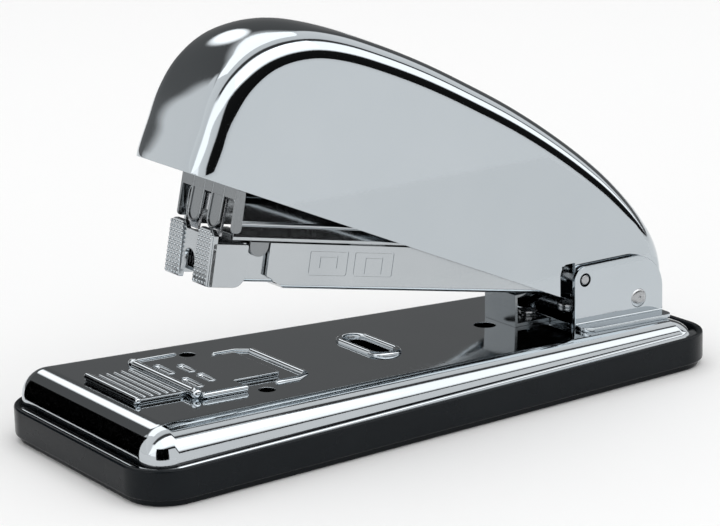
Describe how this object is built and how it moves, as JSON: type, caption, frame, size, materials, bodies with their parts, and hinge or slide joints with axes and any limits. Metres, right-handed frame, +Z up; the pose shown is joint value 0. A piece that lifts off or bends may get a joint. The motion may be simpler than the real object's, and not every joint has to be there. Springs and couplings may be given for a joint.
{
  "type": "desk stapler",
  "caption": "Plated desk stapler with a domed cover, a front-loading staple drawer, a sliding two-way anvil and a black moulded tray.",
  "frame": {"origin": "centre of the tray's underside", "axes": "+Z up from the table, nose and staple exit towards -X, hinge towards +X, hinge pin along Y"},
  "size_m": [0.15, 0.0624, 0.086],
  "materials": {
    "chrome_cover": "polished plating",
    "chrome_base": "polished plating",
    "black_tray": "satin moulded black",
    "plated_steel": "bright plated sheet",
    "steel": "plain steel",
    "staple_wire": "bright wire"
  },
  "bodies": {
    "base": {"base_tray": "black_tray", "base_shell": "chrome_base", "hinge_bracket": "chrome_cover", "bracket_rivet_front": "steel", "bracket_rivet_rear": "steel", "hinge_pin": "steel", "stop_pin": "steel", "lift_spring": "steel", "lift_spring_rivet": "steel"},
    "anvil": {"anvil_slide": "plated_steel", "anvil_retainer": "steel", "anvil_rivet_front": "steel", "anvil_rivet_rear": "steel"},
    "cover": {"cover_shell": "chrome_cover", "nose_post": "steel", "ram_channel": "plated_steel", "ram_bracket": "steel", "driver_blade": "steel", "cover_spring": "steel", "cover_spring_rivet": "steel"},
    "magazine": {"magazine_channel": "plated_steel", "staple_guard": "steel", "guard_rivet": "steel"},
    "drawer": {"drawer_channel": "plated_steel", "drawer_catch": "plated_steel", "guide_rod": "steel", "rod_collar": "steel", "staple_strip": "staple_wire", "pusher_spring": "steel"},
    "pusher": {"pusher": "steel"}
  },
  "joints": [
    {"name": "cover_hinge", "type": "hinge", "parent": "base", "child": "cover", "pos_m": [0.0471, 0, 0.0216], "axis": [0, -1, 0], "range_deg": [0, 17], "stiffness_Nm_per_rad": 0.6, "springref_deg": -20.05, "deforming": ["cover_spring"]},
    {"name": "magazine_hinge", "type": "hinge", "parent": "base", "child": "magazine", "pos_m": [0.0471, 0, 0.0216], "axis": [0, -1, 0], "range_deg": [0, 11.8], "deforming": ["lift_spring"]},
    {"name": "drawer_slide", "type": "slide", "parent": "magazine", "child": "drawer", "axis": [-0.981, 0, 0.1942], "range_m": [0, 0.06]},
    {"name": "pusher_slide", "type": "slide", "parent": "drawer", "child": "pusher", "axis": [0.981, 0, -0.1942], "range_m": [0, 0.009], "stiffness_N_per_m": 60, "springref_m": -0.03, "deforming": ["pusher_spring"]},
    {"name": "anvil_slide", "type": "slide", "parent": "base", "child": "anvil", "axis": [0.9992, 0, -0.039], "range_m": [0, 0.0042]}
  ],
  "couplings": [
    {"joint": "magazine_hinge", "follows": "cover_hinge", "ratio": 0.69412}
  ]
}
